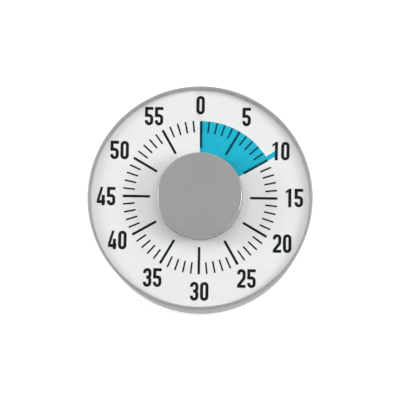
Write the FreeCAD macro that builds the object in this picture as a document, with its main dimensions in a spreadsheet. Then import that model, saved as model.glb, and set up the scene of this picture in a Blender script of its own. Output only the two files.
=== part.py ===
import FreeCAD
import Part
import math
import os
import re
import Sketcher

# Visual countdown timer, lying on its back: +Z is the way the face looks, +Y is 12 o'clock.
# The origin is the centre of the back face. Lengths are millimetres and angles are degrees.

SIZES = (
    ("rim_radius", 49, "outside of the drum at the front rim"),
    ("side_taper", 0.7, "the drum is narrower at the back"),
    ("case_wall", 2, "drum wall behind the deck"),
    ("lip_width", 1.2, "flat lip round the lens"),
    ("rim_round", 0.5, "rounding of the rim's outer edge"),
    ("back_round", 1.2, "rounding of the drum's back edge"),
    ("deck_thickness", 2.2, "deck wall"),
    ("dial_stand", 1.5, "dial face above the deck at the start of its turn"),
    ("lens_drop", 0.5, "lens face below the rim"),
    ("lens_thickness", 1.6, "lens sheet"),
    ("lens_step", 0.35, "width of the step that the lens sits on"),
    ("fit_gap", 0.1, "sliding fit round covers and the lens"),
    ("running_gap", 0.05, "radial gap of a pivot in its hole"),
    ("clear_gap", 0.3, "gap between pieces that pass each other"),
    ("cover_thickness", 2.2, "rear cover"),
    ("cover_ledge", 0.8, "width of the rebate that holds the rear cover"),
    ("spigot_height", 2, "locating ring inside the rear cover"),
    ("spigot_wall", 1.4, "wall of the locating ring"),
    ("cover_screw_inset", 6.3, "cover screws from the drum's inner wall"),
    ("cover_screw_angle", 45, "first cover screw"),
    ("cover_screw_count", 3, "cover screws"),
    ("cover_boss_radius", 3.2, "screw bosses inside the drum"),
    ("case_screw_radius", 1.1, "cover screw shank"),
    ("case_screw_length", 12, "cover screw shank length"),
    ("case_screw_head", 2.3, "cover screw head radius"),
    ("head_height", 1.1, "height of every screw head"),
    ("head_sink", 0.3, "cover screw head below the back face"),
    ("slot_width", 1.6, "sound slot"),
    ("slot_length", 14, "sound slot"),
    ("slot_pitch", 4, "sound slot spacing"),
    ("slot_count", 5, "sound slots"),
    ("magnet_radius", 5, "disc magnet"),
    ("magnet_thickness", 2, "disc magnet"),
    ("magnet_inset", 11.3, "magnets from the drum's inner wall"),
    ("magnet_angle", 105, "first magnet"),
    ("magnet_count", 3, "magnets"),
    ("magnet_skin", 1.2, "cover wall behind a magnet"),
    ("magnet_wall", 1.1, "wall of the ring round a magnet"),
    ("dial_rise", 1.5, "rise of the dial and the time disc in one turn"),
    ("dial_thickness", 0.6, "dial sheet"),
    ("dial_hole_gap", 2, "dial's hole round the sleeve"),
    ("dial_gap", 0.3, "gap between the dial's edge and the drum"),
    ("notch_gap", 0.95, "notch at the slit outside the time disc"),
    ("dial_skirt", 4.6, "width of the dial's skirt"),
    ("dial_foot", 1.2, "height of the closed ring under the skirt"),
    ("dial_slit_angle", 1.3, "the dial's high end stops this far before 12 o'clock"),
    ("dial_notch_angle", 3.5, "width of the notch at the slit"),
    ("dial_low_reach", 6, "the dial's low end carries on this far under its high end"),
    ("dial_pin_radius", 1, "locating pins under the dial"),
    ("dial_pin_inset", 2.55, "locating pins from the dial's edge"),
    ("dial_pin_length", 1.8, "locating pins below the deck's top"),
    ("dial_pin_count", 4, "locating pins"),
    ("sheet_steps", 60, "straight facets in one turn of a sheet"),
    ("disc_radius", 34.05, "time disc"),
    ("disc_thickness", 0.3, "time disc"),
    ("disc_edge_angle", 60, "leading edge at rest, ten minutes"),
    ("tab_length", 4.85, "pointer tab beyond the time disc"),
    ("tab_angle", 2.8, "width of the pointer tab"),
    ("hub_fit", 0.15, "sleeve round the knob's boss"),
    ("hub_wall", 2.95, "wall of the sleeve that carries the time disc"),
    ("hub_lift", 0.25, "lower end of the sleeve above the deck at rest"),
    ("hub_height", 3, "sleeve"),
    ("deck_hole_gap", 0.6, "round the sleeve in the deck"),
    ("knob_radius", 18.55, "knob at its open end"),
    ("knob_taper", 0.05, "the knob is narrower at its face"),
    ("knob_stand", 8.8, "knob face above the rim"),
    ("knob_wall", 2, "knob wall"),
    ("knob_round", 0.8, "rounding of the knob's face edge"),
    ("lens_hole_gap", 0.45, "round the knob in the lens"),
    ("boss_radius", 6.9, "boss inside the knob"),
    ("boss_overhang", 0.4, "boss below the deck"),
    ("key_width", 1.8, "keys on the boss"),
    ("key_height", 0.8, "keys on the boss"),
    ("key_count", 2, "keys on the boss"),
    ("rib_thickness", 1.2, "ribs inside the knob"),
    ("rib_height", 6, "ribs inside the knob"),
    ("rib_count", 6, "ribs inside the knob"),
    ("arbor_radius", 2.5, "main arbor through the front plate"),
    ("arbor_body", 3, "main arbor between the plates"),
    ("arbor_pivot", 1.5, "main arbor in the back plate"),
    ("arbor_flat", 1.8, "flat on the main arbor from its axis"),
    ("flat_lift", 0.4, "flat above the front plate"),
    ("arbor_cover", 3, "knob face above the arbor's end"),
    ("plate_margin", 2.5, "movement plates past the escape wheel"),
    ("plate_thickness", 1.2, "movement plates"),
    ("ear_reach", 2.5, "ear screws outside the front plate's edge"),
    ("ear_radius", 4.2, "ears of the front plate"),
    ("ear_angle", 20, "first ear"),
    ("ear_count", 3, "ears"),
    ("plate_boss_radius", 2.8, "bosses under the deck"),
    ("plate_boss_height", 1.6, "bosses under the deck"),
    ("plate_screw_radius", 0.9, "movement screw shank"),
    ("plate_screw_length", 4.2, "movement screw shank"),
    ("plate_screw_head", 1.8, "movement screw head radius"),
    ("first_pillar", -35, "angle of a pillar"),
    ("second_pillar", 85, "angle of a pillar"),
    ("third_pillar", 150, "angle of a pillar"),
    ("fourth_pillar", 203, "angle of the pillar beside the escape wheel"),
    ("pillar_inset", 2.9, "pillars from the plates' edge"),
    ("fourth_pillar_inset", 1.6, "the pillar beside the escape wheel from the plates' edge"),
    ("pillar_radius", 1.2, "plate pillars"),
    ("pillar_stud", 0.7, "pillar ends in the plates"),
    ("pillar_nut", 1.6, "pillar nut radius"),
    ("pillar_nut_height", 1, "pillar nut"),
    ("spring_lift", 0.8, "mainspring above the back plate"),
    ("spring_width", 5, "mainspring strip width"),
    ("spring_strip", 0.3, "mainspring strip thickness"),
    ("spring_turns", 7, "turns of the mainspring"),
    ("spring_inner", 3.3, "inner end of the mainspring"),
    ("spring_pitch", 1.55, "spacing of its turns"),
    ("spring_post_radius", 1.1, "post that holds the mainspring"),
    ("pressure_angle", 25, "teeth of the train"),
    ("tooth_shift", 0.3, "profile shift of the pinions"),
    ("tooth_addendum", 0.85, "in modules"),
    ("tooth_dedendum", 1.25, "in modules"),
    ("backlash", 0.08, "between flanks"),
    ("wheel_thickness", 1, "wheels of the train"),
    ("great_lift", 0.7, "great wheel above the mainspring"),
    ("second_lift", 0.6, "second wheel above the alarm cam"),
    ("third_lift", 0.8, "third wheel above the second wheel"),
    ("third_gap", 0.6, "front plate above the third wheel"),
    ("wheel_rim", 4, "from a wheel's pitch line to its windows, in modules"),
    ("wheel_hub", 2, "wall round a wheel's bore"),
    ("spoke_angle", 24, "spokes at the wheel's centre"),
    ("pinion_teeth", 8, "every pinion"),
    ("pinion_overhang", 0.5, "a pinion beyond the wheel it meets"),
    ("great_teeth", 64, "great wheel"),
    ("great_module", 0.5, "great wheel"),
    ("second_teeth", 60, "second wheel"),
    ("second_module", 0.4, "second wheel"),
    ("third_teeth", 60, "third wheel"),
    ("third_module", 0.35, "third wheel"),
    ("second_angle", -90, "from the main arbor to the second arbor"),
    ("third_angle", 167, "from the second arbor to the third"),
    ("escape_angle", 129, "from the third arbor to the escape arbor"),
    ("verge_angle", 110, "from the escape arbor to the verge arbor"),
    ("verge_distance", 8.2, "escape arbor to verge arbor"),
    ("train_arbor", 1, "arbors of the train"),
    ("train_pivot", 0.5, "pivots of the train"),
    ("shake", 0.2, "end play of an arbor between the plates"),
    ("escape_teeth", 15, "escape wheel"),
    ("escape_radius", 5.5, "escape wheel"),
    ("escape_root", 4.1, "escape wheel"),
    ("escape_rise", 0.55, "share of a tooth from its foot to its point"),
    ("escape_land", 0.1, "share of a tooth that its point takes"),
    ("escape_fall", 0.05, "share of a tooth that its steep side takes"),
    ("escape_lift", 2.3, "escape wheel above the back plate"),
    ("arbor_hub", 1, "wall of a hub on an arbor of the train"),
    ("pallet_spread", 40, "each pallet from the line of centres"),
    ("pallet_gap", 0.45, "pallet from the escape wheel at rest"),
    ("pallet_radius", 0.5, "pallet pins"),
    ("verge_lift", 0.4, "verge above the escape wheel"),
    ("verge_thickness", 0.8, "verge"),
    ("verge_arm", 1.6, "width of the verge's arms"),
    ("pallet_overhang", 0.4, "pallet pins below the escape wheel"),
    ("balance_thickness", 1.2, "balance bar"),
    ("balance_reach", 6.2, "from the verge arbor to a weight"),
    ("weight_radius", 1.5, "weights on the balance bar"),
    ("ratchet_teeth", 16, "ratchet wheel"),
    ("ratchet_radius", 6.6, "ratchet wheel"),
    ("ratchet_root", 5.6, "ratchet wheel"),
    ("ratchet_lean", 0.08, "share of a tooth that its steep side takes"),
    ("ratchet_gap", 0.2, "ratchet wheel above the great wheel"),
    ("click_ring", 11, "click pivot from the main arbor"),
    ("click_angle", 36, "click pivot"),
    ("click_tip_angle", -2, "where the click stands in the ratchet"),
    ("click_tip_width", 0.4, "half width of the click"),
    ("click_eye", 1.6, "eye of the click"),
    ("click_rivet", 0.7, "click pivot"),
    ("click_lead", 4, "the click's point past the foot of its tooth"),
    ("click_spring_strip", 0.2, "click spring"),
    ("click_foot_ring", 12.6, "foot of the click spring"),
    ("click_foot_angle", -26, "foot of the click spring"),
    ("click_touch_ring", 8.7, "where the click spring rests on the click"),
    ("click_touch_angle", 19, "where the click spring rests on the click"),
    ("cam_lift", 0.6, "alarm cam above the ratchet wheel"),
    ("cam_radius", 5, "alarm cam"),
    ("cam_lobe", 7.2, "tip of the cam's lobe"),
    ("cam_span", 50, "the lobe's ramp"),
    ("cam_steps", 10, "straight facets of the ramp"),
    ("cam_gap", 0.25, "hammer tail outside the lobe"),
    ("tail_angle", 95, "where the hammer's tail meets the cam"),
    ("hammer_ring", 24, "hammer arbor from the main arbor"),
    ("hammer_angle", 30, "hammer arbor"),
    ("tail_width", 1.6, "hammer tail"),
    ("hammer_leaf", 0.25, "hammer spring strip"),
    ("leaf_share", 0.55, "share of the tail's length, from its arbor, where the leaf rests"),
    ("hammer_arm_lift", 0.5, "hammer arm above the bell's crown"),
    ("hammer_arm_thickness", 1, "hammer arm"),
    ("hammer_arm_width", 2, "hammer arm"),
    ("hammer_head_radius", 2, "hammer head"),
    ("hammer_head_height", 3.4, "hammer head"),
    ("hammer_gap", 0.3, "hammer head from the bell at rest"),
    ("bell_x", -7, "bell post"),
    ("bell_y", -2, "bell post"),
    ("bell_radius", 17, "bell"),
    ("bell_wall", 0.9, "bell metal"),
    ("bell_depth", 5, "bell"),
    ("bell_crown", 13.3, "flat crown of the bell"),
    ("bell_shoulder", 3, "height of the bell's sloping shoulder"),
    ("bell_gap", 0.6, "back plate above the bell"),
    ("bell_hole", 1.5, "hole in the bell's crown"),
    ("bell_post_radius", 2.4, "post that carries the bell"),
    ("bell_nut_radius", 2.6, "nut on the bell post"),
    ("bell_nut_height", 1.2, "nut on the bell post"),
    ("nut_gap", 0.5, "nut of the bell post above the rear cover"),
)

doc = FreeCAD.newDocument("countdown_timer")
sheet = doc.addObject("Spreadsheet::Sheet", "Sizes")
for row, (alias, number, meaning) in enumerate(SIZES, 1):
    sheet.set(f"A{row}", alias)
    sheet.set(f"B{row}", str(number))
    sheet.set(f"C{row}", meaning)
    sheet.setAlias(f"B{row}", alias)
doc.recompute()

UP = FreeCAD.Vector(0, 0, 1)
ORIGIN = FreeCAD.Vector(0, 0, 0)


# A place in the plane at a distance and an angle from another place, as two expressions.
def polar(distance, angle, start=("0", "0")):
    return f"{start[0]} + ({distance}) * cos({angle})", f"{start[1]} + ({distance}) * sin({angle})"


# Where the arbors of the train stand.
SECOND = polar("(great_teeth + pinion_teeth) / 2 * great_module", "second_angle")
THIRD = polar("(second_teeth + pinion_teeth) / 2 * second_module", "third_angle", SECOND)
ESCAPE = polar("(third_teeth + pinion_teeth) / 2 * third_module", "escape_angle", THIRD)

# Radii, then heights from the back to the front, that follow from the sizes.
WORKED_OUT = {
    "back_radius": "rim_radius - side_taper",
    "wall_inside": "back_radius - case_wall",
    "cover_bore": "wall_inside + cover_ledge",
    "cover_screw_ring": "wall_inside - cover_screw_inset",
    "magnet_ring": "wall_inside - magnet_inset",
    "lip_bore": "rim_radius - lip_width",
    "dial_bore": "lip_bore - lens_step",
    "dial_outer": "dial_bore - dial_gap",
    "dial_pin_ring": "dial_outer - dial_pin_inset",
    "hub_bore": "boss_radius + hub_fit",
    "hub_radius": "hub_bore + hub_wall",
    "dial_inner": "hub_radius + dial_hole_gap",
    "notch_radius": "disc_radius + notch_gap",
    "tab_radius": "disc_radius + tab_length",
    "knob_top_radius": "knob_radius - knob_taper",
    "plate_radius": f"hypot({ESCAPE[0]}; {ESCAPE[1]}) + escape_radius + plate_margin",
    "ear_ring": "plate_radius + ear_reach",
    "bell_low": "cover_thickness + nut_gap + bell_nut_height",
    "hammer_arm_low": "bell_low + hammer_arm_lift",
    "back_plate": "bell_low + bell_depth + bell_gap",
    "back_plate_top": "back_plate + plate_thickness",
    "escape_low": "back_plate_top + escape_lift",
    "verge_low": "escape_low + wheel_thickness + verge_lift",
    "balance_low": "verge_low + verge_thickness + clear_gap",
    "spring_low": "back_plate_top + spring_lift",
    "great_low": "spring_low + spring_width + great_lift",
    "click_low": "great_low + wheel_thickness + ratchet_gap",
    "click_high": "click_low + wheel_thickness",
    "cam_low": "click_high + cam_lift",
    "second_low": "cam_low + wheel_thickness + second_lift",
    "third_low": "second_low + wheel_thickness + third_lift",
    "front_plate": "third_low + wheel_thickness + third_gap",
    "front_plate_top": "front_plate + plate_thickness",
    "flat_low": "front_plate_top + flat_lift",
    "deck_low": "front_plate_top + plate_boss_height",
    "deck_top": "deck_low + deck_thickness",
    "boss_low": "deck_low - boss_overhang",
    "hub_low": "deck_top + hub_lift",
    "dial_lowest": "deck_top + dial_stand",
    "disc_low": "dial_lowest + clear_gap",
    "lens_low": "disc_low + dial_rise + disc_thickness + clear_gap",
    "lens_top": "lens_low + lens_thickness",
    "case_height": "lens_top + lens_drop",
    "knob_base": "lens_low + clear_gap",
    "knob_top": "case_height + knob_stand",
    "knob_ceiling": "knob_top - knob_wall",
    "rib_low": "knob_ceiling - rib_height",
    "arbor_top": "knob_top - arbor_cover",
}
ALIASES = {alias for alias, number, meaning in SIZES}


# Write an expression with each size as the sheet knows it, and what follows from the sizes in full.
def sized(expression):
    def in_full(word):
        if word[0] in WORKED_OUT:
            return f"({sized(WORKED_OUT[word[0]])})"
        return f"Sizes.{word[0]}" if word[0] in ALIASES else word[0]

    return re.sub(r"[a-z_]+", in_full, expression)


# The number that an expression in the sizes gives.
def value(expression):
    return float(sheet.evalExpression(sized(expression)))


def new_body(label):
    body = doc.addObject("PartDesign::Body", label)
    body.Label = label
    return body


def new_sketch(body, name, role="XY_Plane", height=None):
    sketch = body.newObject("Sketcher::SketchObject", name)
    plane = next(item for item in body.Origin.OriginFeatures if item.Role == role)
    sketch.AttachmentSupport = [(plane, "")]
    sketch.MapMode = "FlatFace"
    if height:
        sketch.setExpression("AttachmentOffset.Base.z", sized(height))
    return sketch


def bind(sketch, kind, where, expression):
    constraint = sketch.addConstraint(Sketcher.Constraint(kind, *where, value(expression)))
    sketch.setExpression(f"Constraints[{constraint}]", sized(expression))


# Hold a sketch point at two expressions measured from the sketch's origin.
def hold_point(sketch, geometry, end, place):
    bind(sketch, "DistanceX", (-1, 1, geometry, end), place[0])
    bind(sketch, "DistanceY", (-1, 1, geometry, end), place[1])


def draw_circle(sketch, radius, place=("0", "0")):
    centre = FreeCAD.Vector(value(place[0]), value(place[1]), 0)
    circle = sketch.addGeometry(Part.Circle(centre, UP, value(radius)))
    if place == ("0", "0"):
        sketch.addConstraint(Sketcher.Constraint("Coincident", circle, 3, -1, 1))
    else:
        hold_point(sketch, circle, 3, place)
    bind(sketch, "Radius", (circle,), radius)


# A closed outline of straight lines through corners given as pairs of expressions.
def draw_outline(sketch, corners):
    points = [FreeCAD.Vector(value(x), value(y), 0) for x, y in corners]
    lines = [
        sketch.addGeometry(Part.LineSegment(start, end))
        for start, end in zip(points, points[1:] + points[:1])
    ]
    for line, following in zip(lines, lines[1:] + lines[:1]):
        sketch.addConstraint(Sketcher.Constraint("Coincident", line, 2, following, 1))
    for line, (x, y) in zip(lines, corners):
        hold_point(sketch, line, 1, (x, y))


def pad(body, name, sketch, length):
    feature = body.newObject("PartDesign::Pad", name)
    feature.Profile = sketch
    feature.setExpression("Length", sized(length))
    return feature


# Cut upwards from the sketch.
def pocket(body, name, sketch, depth):
    feature = body.newObject("PartDesign::Pocket", name)
    feature.Profile = sketch
    feature.Reversed = True
    feature.setExpression("Length", sized(depth))
    return feature


def post(body, name, radius, low, high, place=("0", "0")):
    sketch = new_sketch(body, name + "_outline", height=low)
    draw_circle(sketch, radius, place)
    return pad(body, name, sketch, f"({high}) - ({low})")


def bore(body, name, radius, low, high, place=("0", "0")):
    sketch = new_sketch(body, name + "_outline", height=low)
    draw_circle(sketch, radius, place)
    return pocket(body, name, sketch, f"({high}) - ({low})")


def repeat(body, name, features, count):
    pattern = body.newObject("PartDesign::PolarPattern", name)
    pattern.Originals = features
    pattern.Axis = (features[0].Profile[0], ["N_Axis"])
    pattern.Angle = 360
    pattern.setExpression("Occurrences", sized(count))
    body.Tip = pattern
    return pattern


# Turn a profile of radius and height pairs about the body's Z axis.
def turn(body, name, corners):
    sketch = new_sketch(body, name + "_profile", "XZ_Plane")
    draw_outline(sketch, corners)
    feature = body.newObject("PartDesign::Revolution", name)
    feature.Profile = sketch
    feature.ReferenceAxis = (sketch, ["V_Axis"])
    feature.Angle = 360
    return feature


def set_place(piece, place):
    piece.setExpression("Placement.Base.x", sized(place[0]))
    piece.setExpression("Placement.Base.y", sized(place[1]))


# A piece made on a lathe, stepped from one radius and height to the next.
def turned(label, corners, place=("0", "0")):
    body = new_body(label)
    turn(body, label + "_turned", corners)
    set_place(body, place)
    return body


# Round the circular edges of one radius and height.
def round_edges(body, feature, name, radius, edge_radius, height):
    doc.recompute()
    wanted = (value(edge_radius), value(height))
    edges = [
        f"Edge{number}"
        for number, edge in enumerate(feature.Shape.Edges, 1)
        if isinstance(edge.Curve, Part.Circle)
        and math.isclose(edge.Curve.Radius, wanted[0], abs_tol=0.01)
        and math.isclose(edge.Curve.Center.z, wanted[1], abs_tol=0.01)
    ]
    fillet = body.newObject("PartDesign::Fillet", name)
    fillet.Base = (feature, edges)
    fillet.setExpression("Radius", sized(radius))
    return fillet


# A piece whose shape comes from a formula.
def formed(label, shape, place=("0", "0")):
    piece = doc.addObject("Part::Feature", label)
    piece.Label = label
    piece.Shape = shape
    set_place(piece, place)
    return piece


def cylinder(radius, low, high, place=("0", "0")):
    base = FreeCAD.Vector(value(place[0]), value(place[1]), value(low))
    return Part.makeCylinder(value(radius), value(high) - value(low), base)


# A flat plate from a closed list of points, from one height to another.
def plate_through(points, low, high):
    corners = [FreeCAD.Vector(x, y, value(low)) for x, y in points]
    face = Part.Face(Part.makePolygon(corners + corners[:1]))
    return face.extrude(FreeCAD.Vector(0, 0, value(high) - value(low)))


# A rounded bar between two places, as a link or lever is blanked from strip.
def link(start, end, width, low, high):
    first = FreeCAD.Vector(value(start[0]), value(start[1]), value(low))
    last = FreeCAD.Vector(value(end[0]), value(end[1]), value(low))
    side = (last - first).cross(UP).normalize() * (value(width) / 2)
    onward = (last - first).normalize() * (value(width) / 2)
    edges = [
        Part.LineSegment(first + side, last + side),
        Part.Arc(last + side, last + onward, last - side),
        Part.LineSegment(last - side, first - side),
        Part.Arc(first - side, first - onward, first + side),
    ]
    face = Part.Face(Part.Wire([edge.toShape() for edge in edges]))
    return face.extrude(FreeCAD.Vector(0, 0, value(high) - value(low)))


# Where the other pieces stand that several pieces share.
VERGE = polar("verge_distance", "verge_angle", ESCAPE)
HAMMER = polar("hammer_ring", "hammer_angle")
BELL = ("bell_x", "bell_y")
SPRING_END = polar(
    "spring_inner + spring_pitch * spring_turns + spring_strip + spring_post_radius", "180"
)
PILLARS = [
    polar("plate_radius - pillar_inset", "first_pillar"),
    polar("plate_radius - pillar_inset", "second_pillar"),
    polar("plate_radius - pillar_inset", "third_pillar"),
    polar("plate_radius - fourth_pillar_inset", "fourth_pillar"),
]

COVER_SCREW = polar("cover_screw_ring", "cover_screw_angle")
PLATE_SCREW = polar("ear_ring", "ear_angle")
DIAL_PIN = polar("dial_pin_ring", "ear_angle")
MAGNET = polar("magnet_ring", "magnet_angle")


# The drum: outer wall, rim, lens step, deck and the bosses under the deck.
def make_front_housing():
    body = new_body("front_housing")
    drum = turn(body, "drum", [
        ("cover_bore", "0"),
        ("back_radius", "0"),
        ("rim_radius", "case_height"),
        ("lip_bore", "case_height"),
        ("lip_bore", "lens_low"),
        ("dial_bore", "lens_low"),
        ("dial_bore", "deck_top"),
        ("hub_radius + deck_hole_gap", "deck_top"),
        ("hub_radius + deck_hole_gap", "deck_low"),
        ("wall_inside", "deck_low"),
        ("wall_inside", "cover_thickness"),
        ("cover_bore", "cover_thickness"),
    ])
    rim = round_edges(body, drum, "rim_rounded", "rim_round", "rim_radius", "case_height")
    round_edges(body, rim, "back_rounded", "back_round", "back_radius", "0")
    cover_boss = post(body, "cover_boss", "cover_boss_radius", "cover_thickness", "deck_low", COVER_SCREW)
    repeat(body, "cover_bosses", [cover_boss], "cover_screw_count")
    plate_boss = post(body, "plate_boss", "plate_boss_radius", "front_plate_top", "deck_low", PLATE_SCREW)
    repeat(body, "plate_bosses", [plate_boss], "ear_count")
    cover_pilot = bore(
        body, "cover_pilot", "case_screw_radius", "cover_thickness",
        "head_sink + head_height + case_screw_length + clear_gap", COVER_SCREW,
    )
    repeat(body, "cover_pilots", [cover_pilot], "cover_screw_count")
    plate_pilot = bore(
        body, "plate_pilot", "plate_screw_radius", "front_plate_top",
        "front_plate + plate_screw_length", PLATE_SCREW,
    )
    repeat(body, "plate_pilots", [plate_pilot], "ear_count")
    pin_hole = bore(
        body, "pin_hole", "dial_pin_radius + running_gap",
        "deck_top - dial_pin_length - clear_gap", "deck_top", DIAL_PIN,
    )
    repeat(body, "pin_holes", [pin_hole], "dial_pin_count")
    return body


# The flat cover that closes the back, with its sound slots and magnet rings.
def make_rear_cover():
    body = new_body("rear_cover")
    post(body, "cover_disc", "cover_bore - fit_gap", "0", "cover_thickness")
    turn(body, "spigot", [
        ("wall_inside - fit_gap - spigot_wall", "cover_thickness"),
        ("wall_inside - fit_gap", "cover_thickness"),
        ("wall_inside - fit_gap", "cover_thickness + spigot_height"),
        ("wall_inside - fit_gap - spigot_wall", "cover_thickness + spigot_height"),
    ])
    ring = post(
        body, "magnet_ring_wall", "magnet_radius + fit_gap + magnet_wall", "cover_thickness",
        "magnet_skin + magnet_thickness", MAGNET,
    )
    repeat(body, "magnet_ring_walls", [ring], "magnet_count")
    seat = bore(
        body, "magnet_seat", "magnet_radius + fit_gap", "magnet_skin",
        "magnet_skin + magnet_thickness", MAGNET,
    )
    repeat(body, "magnet_seats", [seat], "magnet_count")
    hole = bore(body, "screw_hole", "case_screw_radius + fit_gap", "0", "cover_thickness", COVER_SCREW)
    sink = bore(body, "head_hole", "case_screw_head + fit_gap", "0", "head_sink + head_height", COVER_SCREW)
    repeat(body, "screw_holes", [hole, sink], "cover_screw_count")
    slot_sketch = new_sketch(body, "slot_outline", height="0")
    left = "bell_x - slot_length / 2"
    right = "bell_x + slot_length / 2"
    first = "bell_y - slot_pitch * (slot_count - 1) / 2"
    draw_outline(slot_sketch, [
        (left, f"{first} - slot_width / 2"),
        (right, f"{first} - slot_width / 2"),
        (right, f"{first} + slot_width / 2"),
        (left, f"{first} + slot_width / 2"),
    ])
    slot = pocket(body, "slot", slot_sketch, "cover_thickness")
    slots = body.newObject("PartDesign::LinearPattern", "slots")
    slots.Originals = [slot]
    slots.Direction = (slot_sketch, ["V_Axis"])
    slots.setExpression("Length", sized("slot_pitch * (slot_count - 1)"))
    slots.setExpression("Occurrences", sized("slot_count"))
    body.Tip = slots
    return body


def make_case_screws():
    body = new_body("case_screws")
    under_head = "head_sink + head_height"
    head = post(body, "screw_head", "case_screw_head", "head_sink", under_head, COVER_SCREW)
    shank = post(
        body, "screw_shank", "case_screw_radius", under_head,
        f"{under_head} + case_screw_length", COVER_SCREW,
    )
    repeat(body, "screws", [head, shank], "cover_screw_count")
    return body


def make_magnets():
    body = new_body("magnets")
    magnet = post(
        body, "magnet", "magnet_radius", "magnet_skin", "magnet_skin + magnet_thickness", MAGNET
    )
    repeat(body, "magnet_set", [magnet], "magnet_count")
    return body


# The clear sheet over the face, open in the middle for the knob.
def make_lens():
    return turned("lens", [
        ("knob_radius + lens_hole_gap", "lens_low"),
        ("lip_bore - fit_gap", "lens_low"),
        ("lip_bore - fit_gap", "lens_top"),
        ("knob_radius + lens_hole_gap", "lens_top"),
    ])


# A sheet that climbs as it goes round clockwise from 12 o'clock, in straight facets.
def climbing_sheet(inner, outer, start, end, low, high):
    steps = max(1, round(value("sheet_steps") * (end - start) / 360))

    def at(radius, step, height):
        angle = start + (end - start) * step / steps
        turned_by = math.radians(angle)
        climb = value("dial_rise") * angle / 360
        return FreeCAD.Vector(radius * math.sin(turned_by), radius * math.cos(turned_by), height + climb)

    faces = []

    def add_face(*corners):
        first, second, third, fourth = corners
        faces.append(Part.Face(Part.makePolygon([first, second, third, first])))
        faces.append(Part.Face(Part.makePolygon([first, third, fourth, first])))

    edges = [(inner, low), (outer, low), (outer, high), (inner, high)]
    for (radius, height), (next_radius, next_height) in zip(edges, edges[1:] + edges[:1]):
        for step in range(steps):
            add_face(
                at(radius, step, height),
                at(next_radius, step, next_height),
                at(next_radius, step + 1, next_height),
                at(radius, step + 1, height),
            )
    for step in (0, steps):
        add_face(*(at(radius, step, height) for radius, height in edges))
    sheet_solid = Part.Solid(Part.Shell(faces))
    if sheet_solid.Volume < 0:
        sheet_solid.reverse()
    return sheet_solid


# A wedge of a ring, clockwise from 12 o'clock, for cutting.
def ring_wedge(inner, outer, start, end, low, high):
    ring = Part.makeCylinder(outer, high - low, FreeCAD.Vector(0, 0, low), UP, end - start)
    ring.rotate(ORIGIN, UP, 90 - end)
    return ring.cut(Part.makeCylinder(inner, high - low, FreeCAD.Vector(0, 0, low)))


# The white face: one climbing turn of sheet on a skirt, open at 12 o'clock where the disc comes up.
def make_dial():
    outer = value("dial_outer")
    top = value("dial_lowest")
    skirt_inner = outer - value("dial_skirt")
    overlap = value("dial_thickness") / 4
    notch_start = 360 - value("dial_notch_angle")
    under = top - value("dial_thickness")
    slit = 360 - value("dial_slit_angle")
    face = climbing_sheet(value("dial_inner"), outer, 0, slit, under, top)
    notch = ring_wedge(
        value("notch_radius"), outer + value("dial_gap"), notch_start, 360,
        value("deck_top"), value("lens_low"),
    )
    face = face.cut(notch)
    low_end = climbing_sheet(value("dial_inner"), outer, -value("dial_low_reach"), 0, under, top)
    skirt = climbing_sheet(skirt_inner, outer, 0, notch_start, value("deck_top - dial_rise"), top - overlap)
    below_deck = Part.makeCylinder(outer + value("dial_gap"), value("dial_rise"))
    below_deck.translate(FreeCAD.Vector(0, 0, value("deck_top - dial_rise")))
    skirt = skirt.cut(below_deck)
    foot = cylinder("dial_outer", "deck_top", "deck_top + dial_foot")
    foot = foot.cut(cylinder(str(skirt_inner), "deck_top", "deck_top + dial_foot"))
    pins = []
    for number in range(round(value("dial_pin_count"))):
        pin = cylinder(
            "dial_pin_radius", "deck_top - dial_pin_length", "deck_top + dial_foot / 2", DIAL_PIN
        )
        pin.rotate(ORIGIN, UP, 360 * number / value("dial_pin_count"))
        pins.append(pin)
    return formed("dial", face.fuse([low_end, skirt, foot] + pins).removeSplitter())


# The coloured film: one climbing turn that slides through the dial's slit, with its pointer tab.
def make_time_disc():
    end = value("disc_edge_angle")
    low = value("disc_low")
    inner = value("hub_radius / cos(180 / sheet_steps)")
    film = climbing_sheet(
        inner, value("tab_radius"), end - 360, end, low, low + value("disc_thickness")
    )
    beside_tab = ring_wedge(
        value("disc_radius"), value("tab_radius + dial_gap"), end - 360, end - value("tab_angle"),
        value("deck_top"), value("lens_low"),
    )
    return formed("time_disc", film.cut(beside_tab))


# The sleeve in the middle of the film, which slides on the knob's keys as the film climbs.
def make_disc_hub():
    body = turned("disc_hub", [
        ("hub_bore", "hub_low"),
        ("hub_radius", "hub_low"),
        ("hub_radius", "hub_low + hub_height"),
        ("hub_bore", "hub_low + hub_height"),
    ])
    sketch = new_sketch(body, "keyway_outline", height="hub_low")
    reach = "boss_radius + key_height + clear_gap"
    draw_outline(sketch, [
        ("boss_radius / 2", "-key_width / 2 - fit_gap"),
        (reach, "-key_width / 2 - fit_gap"),
        (reach, "key_width / 2 + fit_gap"),
        ("boss_radius / 2", "key_width / 2 + fit_gap"),
    ])
    keyway = pocket(body, "keyway", sketch, "hub_height")
    repeat(body, "keyways", [keyway], "key_count")
    return body


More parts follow.
